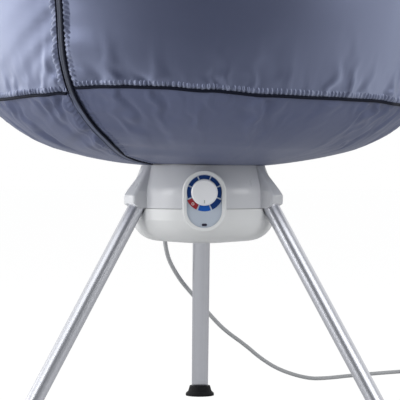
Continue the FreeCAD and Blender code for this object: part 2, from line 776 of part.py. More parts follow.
# Zip over the seam, and piping that stops each side of it
zip_section = pod_section(zip_tape_gap, zip_tape_gap + zip_tape_thickness, 0, side_last)
zip_tape = Part.Face(Part.Wire(zip_section)).extrude(sideways * zip_tape_width)
zip_tape.translate(sideways * (-zip_tape_width / 2))
zip_tape = zip_tape.cut(cylinder(deck_radius + seat_gap, 0, pod_top))
save(turned(zip_tape, zip_angle), "zip_tape")
piping_slab = slab(0, belly_radius + overrun, zip_tape_width + seat_gap * 2, 0, pod_top)
for name, index in (("low", dish_last), ("high", side_last)):
    centre = pod_points[index] + outward(index) * (piping_radius + plug_gap)
    bead = Part.makeTorus(centre.x, piping_radius, Vec(0, 0, centre.z), up).cut(piping_slab)
    save(turned(bead, zip_angle), "piping_" + name)
slider_back = belly_radius + zip_tape_gap + zip_tape_thickness + seat_gap
slider = slab(slider_back, slider_back + slider_thickness, slider_width, slider_height,
              slider_height + slider_length)
slider = slider.makeFillet(slider_round, slider.Edges)
save(turned(slider, zip_angle), "zip_slider")
pull_back = slider_back + slider_thickness
pull_top = slider_height + slider_length / 2
pull = slab(pull_back, pull_back + pull_thickness, pull_width, pull_top - pull_length, pull_top)
pull_eye = Vec(pull_back, 0, pull_top - pull_length + pull_width / 2)
pull = pull.cut(rod(pull_eye_radius, pull_eye, radial, overrun))
save(turned(pull, zip_angle), "zip_pull")


# Mains cord: straight runs joined by tangent arcs from the strain relief to the coil
def corner_mid(start, corner, end):
    half_turn_cos = (end - start).Length / ((corner - start).Length * 2)
    return corner + ((start + end) * 0.5 - corner) * (1 / (1 + half_turn_cos))


def biarc(start, start_way, end, end_way):
    span = end - start
    both = start_way + end_way
    spread = 2 * (1 - start_way.dot(end_way))
    along = span.dot(both)
    reach = (math.sqrt(along * along + spread * span.dot(span)) - along) / spread
    first = start + start_way * reach
    second = end - end_way * reach
    middle = (first + second) * 0.5
    return [arc_edge(start, corner_mid(start, first, middle), middle),
            arc_edge(middle, corner_mid(middle, second, end), end)]


def cord_tube(edges, start, way):
    path = Part.Wire(edges)
    circle = Part.Wire([Part.Circle(start, way, cord_diameter / 2).toShape()])
    solid = path.makePipeShell([circle], True, False)
    section = math.pi * cord_diameter ** 2 / 4
    print("cord length", round(path.Length, 1))
    print("volume share", round(solid.Volume / section / path.Length, 4))
    return solid


route = [cord_start, cord_start + gland_direction * cord_lead] + [Vec(*point) for point in cord_route]
cord_edges = []
run_start = route[0]
radii = []
for before, corner, after in zip(route, route[1:], route[2:]):
    way_in = (corner - before).normalize()
    way_out = (after - corner).normalize()
    half_turn = way_in.getAngle(way_out) / 2
    trim = 0.45 * min((corner - before).Length, (after - corner).Length)
    radii.append(trim / math.tan(half_turn))
    arc_start = corner - way_in * trim
    arc_end = corner + way_out * trim
    cord_edges.append(Part.LineSegment(run_start, arc_start).toShape())
    cord_edges.append(arc_edge(arc_start, corner_mid(arc_start, corner, arc_end), arc_end))
    run_start = arc_end
cord_edges.append(Part.LineSegment(run_start, route[-1]).toShape())
print("cord radii", [round(radius) for radius in radii])
save(cord_tube(cord_edges, route[0], (route[1] - route[0]).normalize()), "cord")

# Put-away coil: clockwise turns that spiral in on the floor, climb a layer and spiral out again
coil_way = (route[-1] - route[-2]).normalize()
coil_base = route[-1] + coil_way * cord_diameter
coil_side = coil_way.cross(up)
coil_centre = coil_base + coil_side * coil_radius
inner_radius = coil_radius - coil_pitch * coil_turns_in
climb_end = coil_turns_in + 0.5
coil_turns = climb_end + coil_turns_out


def coil_point(turns):
    lift = 0
    if turns <= coil_turns_in:
        radius = coil_radius - coil_pitch * turns
    elif turns < climb_end:
        share = (turns - coil_turns_in) * 2
        lift = coil_layer * share
        radius = inner_radius - coil_dip * math.sin(math.pi * share)
    else:
        lift = coil_layer
        radius = inner_radius + coil_pitch * (turns - climb_end)
    angle = turns * 2 * math.pi
    return coil_centre + (coil_way * math.sin(angle) - coil_side * math.cos(angle)) * radius + up * lift


def coil_heading(turns):
    step = 1e-4
    return (coil_point(turns + step) - coil_point(turns - step)).normalize()


quarters = [step / 4 for step in range(int(coil_turns * 4) + 1)]
coil_points = [coil_point(turns) for turns in quarters]
coil_ways = [coil_way] + [coil_heading(turns) for turns in quarters[1:]]
coil_edges = [Part.LineSegment(route[-1], coil_base).toShape()]
for i in range(len(quarters) - 1):
    coil_edges += biarc(coil_points[i], coil_ways[i], coil_points[i + 1], coil_ways[i + 1])
coil_tail = coil_points[-1] + coil_ways[-1] * coil_tail_length
coil_edges.append(Part.LineSegment(coil_points[-1], coil_tail).toShape())
save(cord_tube(coil_edges, route[-1], coil_way), "cord_coil")
samples = [coil_point(step / 60) for step in range(int(coil_turns * 60) + 1)]
least = min((a - b).Length for i, a in enumerate(samples) for b in samples[i + 30:])
print("coil self gap", round(least - cord_diameter, 2))

# Strap that holds the coil's turns together
strap_inner = inner_radius - coil_dip - cord_diameter / 2 - seat_gap
strap_outer = coil_radius + cord_diameter / 2 + seat_gap
strap_low = coil_centre.z - cord_diameter / 2 - seat_gap / 2
strap_high = coil_centre.z + coil_layer + cord_diameter / 2 + seat_gap
tie = slab(strap_inner - tie_thickness, strap_outer + tie_thickness, tie_width, strap_low - tie_thickness,
           strap_high + tie_thickness)
tie = tie.cut(slab(strap_inner, strap_outer, tie_width, strap_low, strap_high))
tie.rotate(Vec(), up, tie_angle)
tie.translate(Vec(coil_centre.x, coil_centre.y, 0))
save(tie, "cord_tie")

# Plug at the coil's end: a tapered neck, a rounded body and two round pins
plug_way = Vec(coil_ways[-1].x, coil_ways[-1].y, 0).normalize()
plug_angle = math.degrees(math.atan2(plug_way.y, plug_way.x))
plug_neck = Part.makeCone(cord_diameter / 2 + seat_gap, plug_neck_radius, plug_neck_length, Vec(), radial)
plug_end = plug_neck_length + plug_length
plug_body = slab(plug_neck_length, plug_end, plug_width, -plug_height / 2, plug_height / 2)
plug_body = plug_body.makeFillet(plug_round, plug_body.Edges)
plug_body = plug_body.fuse(plug_neck).removeSplitter()
pins = [rod(plug_pin_radius, Vec(plug_end, side * plug_pin_spacing / 2, 0), radial, plug_pin_length)
        for side in (-1, 1)]
for shape, name in ((plug_body, "plug_body"), (Part.makeCompound(pins), "plug_pins")):
    shape.rotate(Vec(), up, plug_angle)
    shape.translate(coil_tail)
    save(shape, name)
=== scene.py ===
import bpy
import json
import math
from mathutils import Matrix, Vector, noise


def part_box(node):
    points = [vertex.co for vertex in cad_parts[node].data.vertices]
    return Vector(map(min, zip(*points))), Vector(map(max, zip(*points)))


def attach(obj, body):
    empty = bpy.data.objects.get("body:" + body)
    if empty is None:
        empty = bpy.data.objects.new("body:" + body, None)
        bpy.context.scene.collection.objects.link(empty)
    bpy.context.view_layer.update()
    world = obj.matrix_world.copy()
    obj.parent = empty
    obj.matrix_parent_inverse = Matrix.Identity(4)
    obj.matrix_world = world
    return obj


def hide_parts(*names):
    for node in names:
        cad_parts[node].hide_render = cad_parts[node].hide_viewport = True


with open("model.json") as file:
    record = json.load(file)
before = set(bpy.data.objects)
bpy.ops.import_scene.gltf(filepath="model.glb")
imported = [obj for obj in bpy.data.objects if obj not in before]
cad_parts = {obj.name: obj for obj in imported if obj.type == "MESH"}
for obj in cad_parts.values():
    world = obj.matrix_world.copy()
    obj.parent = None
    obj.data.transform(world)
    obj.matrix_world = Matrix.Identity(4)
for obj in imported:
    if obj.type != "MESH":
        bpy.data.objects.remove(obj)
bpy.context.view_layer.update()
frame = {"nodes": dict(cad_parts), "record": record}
scene = bpy.context.scene
scene.view_settings.view_transform = "Standard"
print("frame loaded,", len(frame["nodes"]), "nodes")


# small helpers for meshes and pieces
def addObject(name, data):
    obj = bpy.data.objects.new(name, data)
    scene.collection.objects.link(obj)
    return obj


def addMesh(name, verts, faces, mat, smooth=True):
    mesh = bpy.data.meshes.new(name)
    mesh.from_pydata([tuple(v) for v in verts], [], faces)
    mesh.update()
    if smooth:
        mesh.polygons.foreach_set("use_smooth", [True] * len(mesh.polygons))
    mesh.materials.append(mat)
    return addObject(name, mesh)


def gridFaces(cols, rows, closeCols=False):
    faces = []
    for c in range(cols if closeCols else cols - 1):
        d = (c + 1) % cols
        for r in range(rows - 1):
            faces.append((c * rows + r, d * rows + r, d * rows + r + 1, c * rows + r + 1))
    return faces


def tubeAlong(name, points, radius, mat, sides=10):
    verts, faces = [], []
    last = len(points) - 1
    side = None
    for i, p in enumerate(points):
        along = (points[min(i + 1, last)] - points[max(i - 1, 0)]).normalized()
        if side is None:
            side = along.orthogonal().normalized()
        side = (side - along * side.dot(along)).normalized()
        other = along.cross(side)
        for k in range(sides):
            a = 2 * math.pi * k / sides
            verts.append(p + (side * math.cos(a) + other * math.sin(a)) * radius)
    for i in range(last):
        for k in range(sides):
            n = (k + 1) % sides
            faces.append((i * sides + k, i * sides + n, (i + 1) * sides + n, (i + 1) * sides + k))
    faces.append(tuple(range(sides))[::-1])
    faces.append(tuple(last * sides + k for k in range(sides)))
    return addMesh(name, verts, faces, mat)


def place(obj, body, slotName, *nodes):
    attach(obj, body)
    if nodes:
        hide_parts(*nodes)


# shader helpers
mixColour = {"mask": 0, "first": 6, "second": 7, "result": 2}  # the colour sockets of a Mix node


def newMaterial(name):
    mat = bpy.data.materials.new(name)
    mat.use_nodes = True
    return mat, mat.node_tree, mat.node_tree.nodes["Principled BSDF"]


def newGroup(name, inputs, outputs):
    group = bpy.data.node_groups.new(name, "ShaderNodeTree")
    for label, value in inputs.items():  # None stands for a vector
        kind = "NodeSocketVector" if value is None else "NodeSocketFloat"
        socket = group.interface.new_socket(name=label, in_out="INPUT", socket_type=kind)
        if value is not None:
            socket.default_value = value
    for label in outputs:
        group.interface.new_socket(name=label, in_out="OUTPUT", socket_type="NodeSocketFloat")
    return group, group.nodes.new("NodeGroupInput"), group.nodes.new("NodeGroupOutput")


def feed(tree, socket, value):
    if isinstance(value, bpy.types.NodeSocket):
        tree.links.new(value, socket)
    else:
        socket.default_value = value


def setInputs(tree, node, values):
    for label, value in values.items():
        feed(tree, node.inputs[label], value)


def useGroup(tree, group, **values):
    node = tree.nodes.new("ShaderNodeGroup")
    node.node_tree = group
    setInputs(tree, node, values)
    return node.outputs


def mathNode(tree, kind, *values):
    node = tree.nodes.new("ShaderNodeMath")
    node.operation = kind
    for socket, value in zip(node.inputs, values):
        feed(tree, socket, value)
    return node.outputs[0]


def noiseNode(tree, vector, scale, detail, rough=0.5):
    node = tree.nodes.new("ShaderNodeTexNoise")
    setInputs(tree, node, {"Vector": vector, "Scale": scale, "Detail": detail, "Roughness": rough})
    return node.outputs["Fac"]


def spread(tree, value, fromSpan, toSpan=(0.0, 1.0)):
    node = tree.nodes.new("ShaderNodeMapRange")
    setInputs(tree, node, {"Value": value, "From Min": fromSpan[0], "From Max": fromSpan[1],
                           "To Min": toSpan[0], "To Max": toSpan[1]})
    return node.outputs["Result"]


def blendColour(tree, mask, first, second):
    node = tree.nodes.new("ShaderNodeMix")
    node.data_type = "RGBA"
    tree.links.new(mask, node.inputs[mixColour["mask"]])
    for label, value in (("first", first), ("second", second)):
        feed(tree, node.inputs[mixColour[label]], (*value, 1.0) if isinstance(value, tuple) else value)
    return node.outputs[mixColour["result"]]


def bumpNode(tree, height, distance, strength=1.0):
    node = tree.nodes.new("ShaderNodeBump")
    setInputs(tree, node, {"Strength": strength, "Distance": distance, "Height": height})
    return node.outputs["Normal"]


def objectCoords(tree):
    return tree.nodes.new("ShaderNodeTexCoord").outputs["Object"]


def splitVector(tree, vector):
    node = tree.nodes.new("ShaderNodeSeparateXYZ")
    tree.links.new(vector, node.inputs[0])
    return node.outputs


def overBase(mat, mask, colour):
    tree = mat.node_tree
    base = tree.nodes["Principled BSDF"].inputs["Base Color"]
    tree.links.new(blendColour(tree, mask, base.links[0].from_socket, colour), base)
    return mat


# effects that several finishes share
grainSet = {"scale": 900.0, "detail": 3.0, "smudgeScale": 14.0, "smudgeDetail": 4.0, "smudgeRough": 0.6,
            "smudgeSpan": (0.3, 0.7)}
weaveSet = {"threads": 2600.0, "mottleScale": 9.0, "mottleDetail": 5.0, "mottleRough": 0.55}
streakSet = {"stretch": (150.0, 150.0, 0.9), "fineness": 1.0, "detail": 1.5, "span": (0.3, 0.7)}


def buildGrainGroup():
    s = grainSet
    group, gin, gout = newGroup("mouldedGrain", {"Scale": s["scale"]}, ("Height", "Smudge"))
    coords = objectCoords(group)
    fine = noiseNode(group, coords, gin.outputs["Scale"], s["detail"])
    broad = noiseNode(group, coords, s["smudgeScale"], s["smudgeDetail"], s["smudgeRough"])
    setInputs(group, gout, {"Height": fine, "Smudge": spread(group, broad, s["smudgeSpan"])})
    return group


def buildWeaveGroup():
    s = weaveSet
    group, gin, gout = newGroup("clothWeave", {"Vector": None, "Threads": s["threads"]}, ("Height", "Mottle"))
    across, along, _ = splitVector(group, gin.outputs["Vector"])
    warp, weft = (mathNode(group, "SINE", mathNode(group, "MULTIPLY", way, gin.outputs["Threads"]))
                  for way in (across, along))
    mottle = noiseNode(group, objectCoords(group), s["mottleScale"], s["mottleDetail"], s["mottleRough"])
    setInputs(group, gout, {"Height": mathNode(group, "MULTIPLY", warp, weft), "Mottle": mottle})
    return group


def buildStreakGroup():
    s = streakSet
    group, gin, gout = newGroup("drawnStreaks", {"Vector": None, "Fineness": s["fineness"]},
                                ("Streak", "Height"))
    stretch = group.nodes.new("ShaderNodeVectorMath")
    stretch.operation = "MULTIPLY"
    stretch.inputs[1].default_value = s["stretch"]
    group.links.new(gin.outputs["Vector"], stretch.inputs[0])
    lines = noiseNode(group, stretch.outputs[0], gin.outputs["Fineness"], s["detail"])
    setInputs(group, gout, {"Streak": spread(group, lines, s["span"]), "Height": lines})
    return group


grainGroup = buildGrainGroup()
weaveGroup = buildWeaveGroup()
streakGroup = buildStreakGroup()

# finishes
plasticSet = {"bump": 0.00005, "gloss": 0.5, "coatRough": 0.15}
metalSet = {"rough": (0.34, 0.46), "bump": 0.00002, "bumpShare": 0.5, "upright": (0, 0, 1)}
clothSet = {"mottleSpan": (0.3, 0.7), "paintedSheenSpan": (0.0, 0.45), "bump": 0.00006, "bumpShare": 0.5,
            "gloss": 0.4, "ior": 1.5, "glossTint": (0.6, 0.68, 1.0, 1.0), "sheenRough": 0.4,
            "sheenTint": (0.72, 0.75, 0.95, 1.0)}


def plasticFinish(name, colour, worn, rough, grain=grainSet["scale"], bump=plasticSet["bump"], coat=0.0,
                  gloss=plasticSet["gloss"]):
    mat, tree, bsdf = newMaterial(name)
    group = useGroup(tree, grainGroup, Scale=grain)
    setInputs(tree, bsdf, {
        "Base Color": blendColour(tree, group["Smudge"], colour, worn),
        "Roughness": spread(tree, group["Smudge"], (0.0, 1.0), rough),
        "Normal": bumpNode(tree, group["Height"], bump),
        "Specular IOR Level": gloss, "Coat Weight": coat, "Coat Roughness": plasticSet["coatRough"],
    })
    return mat


def metalFinish(name, colour, dull, rough=metalSet["rough"], axis=metalSet["upright"]):
    mat, tree, bsdf = newMaterial(name)
    turn = tree.nodes.new("ShaderNodeMapping")
    turn.vector_type = "POINT"
    upright = Vector(metalSet["upright"])
    turn.inputs["Rotation"].default_value = Vector(axis).rotation_difference(upright).to_euler()
    tree.links.new(objectCoords(tree), turn.inputs["Vector"])
    group = useGroup(tree, streakGroup, Vector=turn.outputs[0])
    setInputs(tree, bsdf, {
        "Base Color": blendColour(tree, group["Streak"], colour, dull),
        "Roughness": spread(tree, group["Streak"], (0.0, 1.0), rough),
        "Normal": bumpNode(tree, group["Height"], metalSet["bump"], metalSet["bumpShare"]), "Metallic": 1.0,
    })
    return mat


def clothFinish(name, colour, shade, rough, sheen, threads=weaveSet["threads"], gloss=clothSet["gloss"],
                ior=clothSet["ior"], useUv=True, edge=None):
    s = clothSet
    mat, tree, bsdf = newMaterial(name)
    coords = tree.nodes.new("ShaderNodeTexCoord").outputs["UV" if useUv else "Object"]
    group = useGroup(tree, weaveGroup, Vector=coords, Threads=threads)
    base = blendColour(tree, group["Mottle"], colour, shade)
    if edge:  # painted sheen: the base colour turns to the paler edge colour at a slant, standing in for the satin's sheen
        paintedSheenMask = tree.nodes.new("ShaderNodeLayerWeight").outputs["Facing"]
        base = blendColour(tree, spread(tree, paintedSheenMask, s["paintedSheenSpan"]), base, edge)
    setInputs(tree, bsdf, {
        "Base Color": base, "Roughness": spread(tree, group["Mottle"], s["mottleSpan"], rough),
        "Normal": bumpNode(tree, group["Height"], s["bump"], s["bumpShare"]),
        "Specular IOR Level": gloss, "IOR": ior, "Specular Tint": s["glossTint"],
        "Sheen Weight": sheen, "Sheen Roughness": s["sheenRough"], "Sheen Tint": s["sheenTint"],
    })
    return mat


def trimFinish(name):
    return clothFinish(name, (0.005, 0.006, 0.012), (0.008, 0.009, 0.017), (0.5, 0.62), sheen=0.0,
                       threads=3000.0, gloss=0.12, useUv=False)


dialSet = {
    "centre": (0.0, 0.3288), "lowestSlope": 0.414, "lowestBlue": (0.012, 0.1, 0.42),
    "ringSpot": 0.0157, "ringOuter": 0.0021, "ringInner": 0.0011, "ringRise": 0.0002, "ringBevel": 0.0002,
    "ringSteps": 40,
    "tickWidth": 0.0013, "tickTall": 0.0044, "tickUp": 0.0033, "tickSunk": (0.0002, 0.0007), "tickTip": 0.5,
}


def markFinish():  # the lowest mark is a brighter blue than the others
    mat = plasticFinish("markBlue", (0.006, 0.045, 0.2), (0.005, 0.036, 0.17), (0.45, 0.55), gloss=0.2)
    tree = mat.node_tree
    x, _, z = splitVector(tree, objectCoords(tree))
    below = mathNode(tree, "SUBTRACT", dialSet["centre"][1], z)
    half = mathNode(tree, "MULTIPLY", below, dialSet["lowestSlope"])
    lowest = mathNode(tree, "LESS_THAN", mathNode(tree, "ABSOLUTE", x), half)
    return overBase(mat, lowest, dialSet["lowestBlue"])


finishes = {
    "shell_plastic": plasticFinish("shellPlastic", (0.82, 0.83, 0.827), (0.79, 0.80, 0.797), (0.3, 0.4),
                                   grain=700.0, bump=0.00004, coat=0.25),
    # the upper shell is a darker, bluer copy of the shell plastic: partly its own greyer tone, partly painted
    # shade from the pod above it
    "upper_shell": plasticFinish("upperShellShadedPlastic", (0.66, 0.67, 0.695), (0.63, 0.64, 0.665), (0.26, 0.34),
                                 grain=700.0, bump=0.00004, coat=0.1),
    "dial_plastic": plasticFinish("dialPlastic", (0.5, 0.56, 0.64), (0.47, 0.53, 0.61), (0.4, 0.5)),
    "knob_plastic": plasticFinish("knobPlastic", (0.88, 0.89, 0.9), (0.84, 0.85, 0.87), (0.28, 0.36),
                                  bump=0.00003, coat=0.3),
    "mark_blue": markFinish(),
    "mark_red": plasticFinish("markRed", (0.36, 0.012, 0.025), (0.3, 0.01, 0.02), (0.35, 0.45)),
    "lens_dark": plasticFinish("lensDark", (0.012, 0.01, 0.03), (0.016, 0.012, 0.04), (0.08, 0.14),
                               grain=500.0, bump=0.00001, coat=0.6),
    "leg_aluminium": metalFinish("drawnAluminium", (0.72, 0.73, 0.77), (0.56, 0.57, 0.61)),
    "foot_rubber": plasticFinish("footRubber", (0.006, 0.006, 0.007), (0.009, 0.009, 0.01), (0.55, 0.7),
                                 grain=500.0, bump=0.0001, gloss=0.18),
    # the edge colour of the pod nylon is a painted sheen on its flanks
    "pod_nylon": clothFinish("podNylon", (0.043, 0.05, 0.089), (0.037, 0.043, 0.077), (0.3, 0.37), sheen=0.06,
                             gloss=1.0, ior=1.55, edge=(0.25, 0.28, 0.4)),
    # the dish cloth is a lighter copy of the pod nylon: painted light from the floor below the pod
    "pod_dish": clothFinish("dishNylonPaintedFloorLight", (0.12, 0.138, 0.225), (0.108, 0.124, 0.204), (0.4, 0.48), sheen=0.1,
                            gloss=0.45),
    "trim_black": trimFinish("trimBlack"),
    "zip_metal": metalFinish("zipEnamel", (0.05, 0.05, 0.07), (0.035, 0.035, 0.05), (0.3, 0.45)),
    "plain_steel": metalFinish("plainSteel", (0.6, 0.6, 0.61), (0.5, 0.5, 0.51)),
    "fan_plastic": plasticFinish("fanPlastic", (0.03, 0.03, 0.032), (0.04, 0.04, 0.042), (0.4, 0.55)),
    "hanger_plastic": plasticFinish("hangerPlastic", (0.55, 0.56, 0.58), (0.5, 0.51, 0.53), (0.35, 0.48)),
    "cord_grey": plasticFinish("cordGrey", (0.53, 0.54, 0.55), (0.47, 0.48, 0.49), (0.4, 0.5), grain=600.0),
    "pin_brass": metalFinish("pinBrass", (0.78, 0.66, 0.36), (0.66, 0.54, 0.28), (0.2, 0.35)),
}
legFinish = {"angles": {"leg_back": 90, "leg_front_left": 210, "leg_front_right": 330}, "lean": 31.2,
             "bright": (0.62, 0.63, 0.67), "dull": (0.56, 0.57, 0.61), "rough": (0.31, 0.37)}
for node, angle in legFinish["angles"].items():  # the streaks run along each leg
    lean, turn = math.radians(legFinish["lean"]), math.radians(angle)
    axis = (-math.sin(lean) * math.cos(turn), -math.sin(lean) * math.sin(turn), math.cos(lean))
    finishes[node] = metalFinish(node + "Aluminium", legFinish["bright"], legFinish["dull"],
                                 legFinish["rough"], axis)
for entry in frame["record"]["subparts"]:
    obj = frame["nodes"][entry["node"]]
    obj.data.materials.clear()
    obj.data.materials.append(finishes.get(entry["node"], finishes[entry["material_slot"]]))

# camera at the photograph's angle, in degrees and metres
view = {"azimuth": -1.0, "distance": 2.5, "height": 0.3594, "lens": 157.5, "sensor": 36.0, "down": 0.982,
        "left": 0.098}


def addCamera():
    cam = bpy.data.cameras.new("viewCamera")
    cam.lens = view["lens"]
    cam.sensor_width = view["sensor"]
    obj = addObject("viewCamera", cam)
    turn = math.radians(view["azimuth"])
    obj.location = (math.sin(turn) * view["distance"], -math.cos(turn) * view["distance"], view["height"])
    obj.rotation_euler = (math.radians(90 - view["down"]), 0, turn + math.radians(view["left"]))
    scene.camera = obj


addCamera()

# mains cord, gland to plug, with the put-away turns on the same spline
cordSet = {
    "diameter": 0.0065, "length": 1.69,
    "exit": (-0.05564, 0.10186, 0.2702), "lead": (-0.05564, 0.12186, 0.2552),
    "route": [(-0.051, 0.148, 0.2275), (-0.0407, 0.176, 0.2055), (-0.028, 0.205, 0.1846),
              (-0.008, 0.237, 0.1600), (0.0195, 0.277, 0.1250), (0.0415, 0.305, 0.1010),
              (0.0748, 0.347, 0.0745), (0.1005, 0.383, 0.0495), (0.1355, 0.428, 0.0239),
              (0.1866, 0.468, 0.0044), (0.222, 0.487, 0.0033), (0.256, 0.516, 0.0033),
              (0.298, 0.545, 0.0033), (0.347, 0.566, 0.0045), (0.390, 0.587, 0.0045)],
    "coilRadius": 0.042, "pitch": 0.0071, "layer": 0.007, "turnsIn": 2.0, "climb": 0.5, "turnsOut": 1.75,
    "dip": 0.0018, "tail": 0.024, "pointsPerTurn": 16, "bevelSteps": 4, "curveSteps": 6, "order": 3,
}


def coilPoints():  # in to the middle, up one layer and out again
    s = cordSet
    start = Vector(s["route"][-1])
    way = (start - Vector(s["route"][-2])).normalized()
    side = way.cross(Vector((0, 0, 1)))
    base = start + way * s["diameter"]
    centre = base + side * s["coilRadius"]
    inner = s["coilRadius"] - s["pitch"] * s["turnsIn"]
    climbEnd = s["turnsIn"] + s["climb"]
    total = climbEnd + s["turnsOut"]
    points = [base]
    count = int(total * s["pointsPerTurn"])
    for i in range(1, count + 1):
        turns = total * i / count
        lift = 0.0
        if turns <= s["turnsIn"]:
            radius = s["coilRadius"] - s["pitch"] * turns
        elif turns < climbEnd:
            share = (turns - s["turnsIn"]) / s["climb"]
            lift = s["layer"] * share
            radius = inner - s["dip"] * math.sin(math.pi * share)
        else:
            lift = s["layer"]
            radius = inner + s["pitch"] * (turns - climbEnd)
        a = turns * 2 * math.pi
        points.append(centre + (way * math.sin(a) - side * math.cos(a)) * radius + Vector((0, 0, lift)))
    points.append(points[-1] + (points[-1] - points[-2]).normalized() * s["tail"])
    return points


def buildCord():
    s = cordSet
    points = [Vector(s["exit"]), Vector(s["lead"])] + [Vector(p) for p in s["route"]] + coilPoints()
    curve = bpy.data.curves.new("mainsCord", "CURVE")
    curve.dimensions = "3D"
    curve.bevel_depth = s["diameter"] / 2
    curve.bevel_resolution = s["bevelSteps"]
    curve.resolution_u = s["curveSteps"]
    curve.use_fill_caps = True
    spline = curve.splines.new("NURBS")
    spline.points.add(len(points) - 1)
    for target, p in zip(spline.points, points):
        target.co = (*p, 1.0)
    spline.order_u = s["order"]
    spline.use_endpoint_u = True
    spline.use_smooth = True
    obj = addObject("mainsCord", curve)
    curve.materials.append(finishes["cord_grey"])
    place(obj, "stand", "cord_grey", "cord", "cord_coil")


buildCord()
print("cord laid")

# fabric pod: outline radius and height in metres as three-point arcs, with the seams at the two pipings
pod = {
    "dish": [(0.0846, 0.3666), (0.1491, 0.37519), (0.21361, 0.39083), (0.26561, 0.41948), (0.304, 0.457)],
    "side": [(0.304, 0.457), (0.33434, 0.56878), (0.345, 0.7), (0.345, 0.925), (0.345, 1.15),
             (0.33492, 1.2625), (0.303, 1.4)],
    "crown": [(0.303, 1.4), (0.2301, 1.53184), (0.06, 1.606), (0.04015, 1.607), (0.0203, 1.608)],
    "arcSteps": 80, "straight": 1e-7,
    "zip": -34.0,  # degrees from the front, to the right
    "columns": 540, "dishRows": 56, "sideRows": 92, "crownRows": 48,
    "endCrowd": 1.7, "bothCrowd": 0.13,  # more rows near the seams
    "weaveRadius": 0.32,
}
seamRadius, seamHeight = pod["side"][0]


def arcLine(a, b, c):
    a, b, c = Vector(a), Vector(b), Vector(c)
    count = pod["arcSteps"]
    d = 2 * (a.x * (b.y - c.y) + b.x * (c.y - a.y) + c.x * (a.y - b.y))
    if abs(d) < pod["straight"]:
        return [a.lerp(c, i / count) for i in range(count + 1)]
    sq = [p.x * p.x + p.y * p.y for p in (a, b, c)]
    ux = (sq[0] * (b.y - c.y) + sq[1] * (c.y - a.y) + sq[2] * (a.y - b.y)) / d
    uy = (sq[0] * (c.x - b.x) + sq[1] * (a.x - c.x) + sq[2] * (b.x - a.x)) / d
    mid = Vector((ux, uy))
    radius = (a - mid).length
    angles = [math.atan2(p.y - uy, p.x - ux) for p in (a, b, c)]
    for i in (1, 2):
        while angles[i] - angles[i - 1] > math.pi:
            angles[i] -= 2 * math.pi
        while angles[i] - angles[i - 1] < -math.pi:
            angles[i] += 2 * math.pi
    span = angles[2] - angles[0]
    turns = [angles[0] + span * i / count for i in range(count + 1)]
    return [mid + Vector((math.cos(t), math.sin(t))) * radius for t in turns]


class outlinePath:
    def __init__(self, points):
        self.points = []
        for i in range(0, len(points) - 2, 2):
            run = arcLine(*points[i:i + 3])
            self.points += run if not self.points else run[1:]
        self.lengths = [0.0]
        for p, q in zip(self.points, self.points[1:]):
            self.lengths.append(self.lengths[-1] + (q - p).length)
        self.total = self.lengths[-1]

    def at(self, s):  # the spot and the outward normal at a length along the outline
        s = min(max(s, 0.0), self.total)
        low, high = 0, len(self.lengths) - 1
        while high - low > 1:
            mid = (low + high) // 2
            if self.lengths[mid] <= s:
                low = mid
            else:
                high = mid
        share = (s - self.lengths[low]) / (self.lengths[high] - self.lengths[low])
        spot = self.points[low].lerp(self.points[high], share)
        along = (self.points[high] - self.points[low]).normalized()
        return spot, Vector((along.y, -along.x))


dishPath, sidePath, crownPath = (outlinePath(pod[part]) for part in ("dish", "side", "crown"))


def ease(x):
    x = min(max(x, 0.0), 1.0)
    return x * x * (3 - 2 * x)


def ramp(pair, x):
    return pair[0] + pair[1] * x


def patchy(value, gain):  # noise about zero made into a mask
    return ease(0.5 + gain * value)


def ringNoise(turn, fineness, seed):
    return noise.noise(Vector((math.cos(turn) * fineness, math.sin(turn) * fineness, seed)))


def roundSpot(turn, radius, height):
    return Vector((math.sin(turn) * radius, -math.cos(turn) * radius, height))


def zipDistance(turn, radius):
    away = (turn - math.radians(pod["zip"]) + math.pi) % (2 * math.pi) - math.pi
    return away * radius


# rise of the low seam above its mean height, by degrees from the front
waveSet = {
    "fade": 0.12,
    "rise": [(-34.0, 0.0076), (-24.0, 0.0082), (-12.0, 0.006), (0.0, 0.0015), (15.0, -0.0043),
             (28.0, -0.0058), (45.0, -0.007), (62.0, -0.0106), (100.0, -0.008), (150.0, -0.003),
             (200.0, 0.003), (250.0, -0.001), (298.0, -0.0024), (318.0, 0.0005), (322.0, 0.0017),
             (326.0, 0.0)],
}


def waveAt(deg):
    deg = (deg - pod["zip"]) % 360.0 + pod["zip"]
    for (a, first), (b, last) in zip(waveSet["rise"], waveSet["rise"][1:]):
        if deg <= b:
            break
    return first + (last - first) * ease((deg - a) / (b - a))


# folds beside a seam: fine values count round the pod, and pairs give a least share and what patches add
seamSet = {
    "sway": 0.05, "swayFine": 14.0, "swayHeight": 0.02, "slant": 1.6, "slantFine": 4.0, "swaySeed": 20.0,
    "patchFine": 6.0, "patchSeed": 5.0, "patchGain": 1.3, "holdHeight": 0.014,
    "longFine": 17.0, "longHeight": 0.09, "longReach": (0.8, 1.4), "longFall": 1.5, "longSize": (0.4, 1.2),
    "longHold": (0.3, 0.7),
    "shortFine": 36.0, "shortSeed": 2.0, "shortHeight": 0.05, "shortReach": 0.8, "shortShare": 1.1,
    "shortSize": (0.4, 0.8), "shortHold": (0.12, 0.88),
}


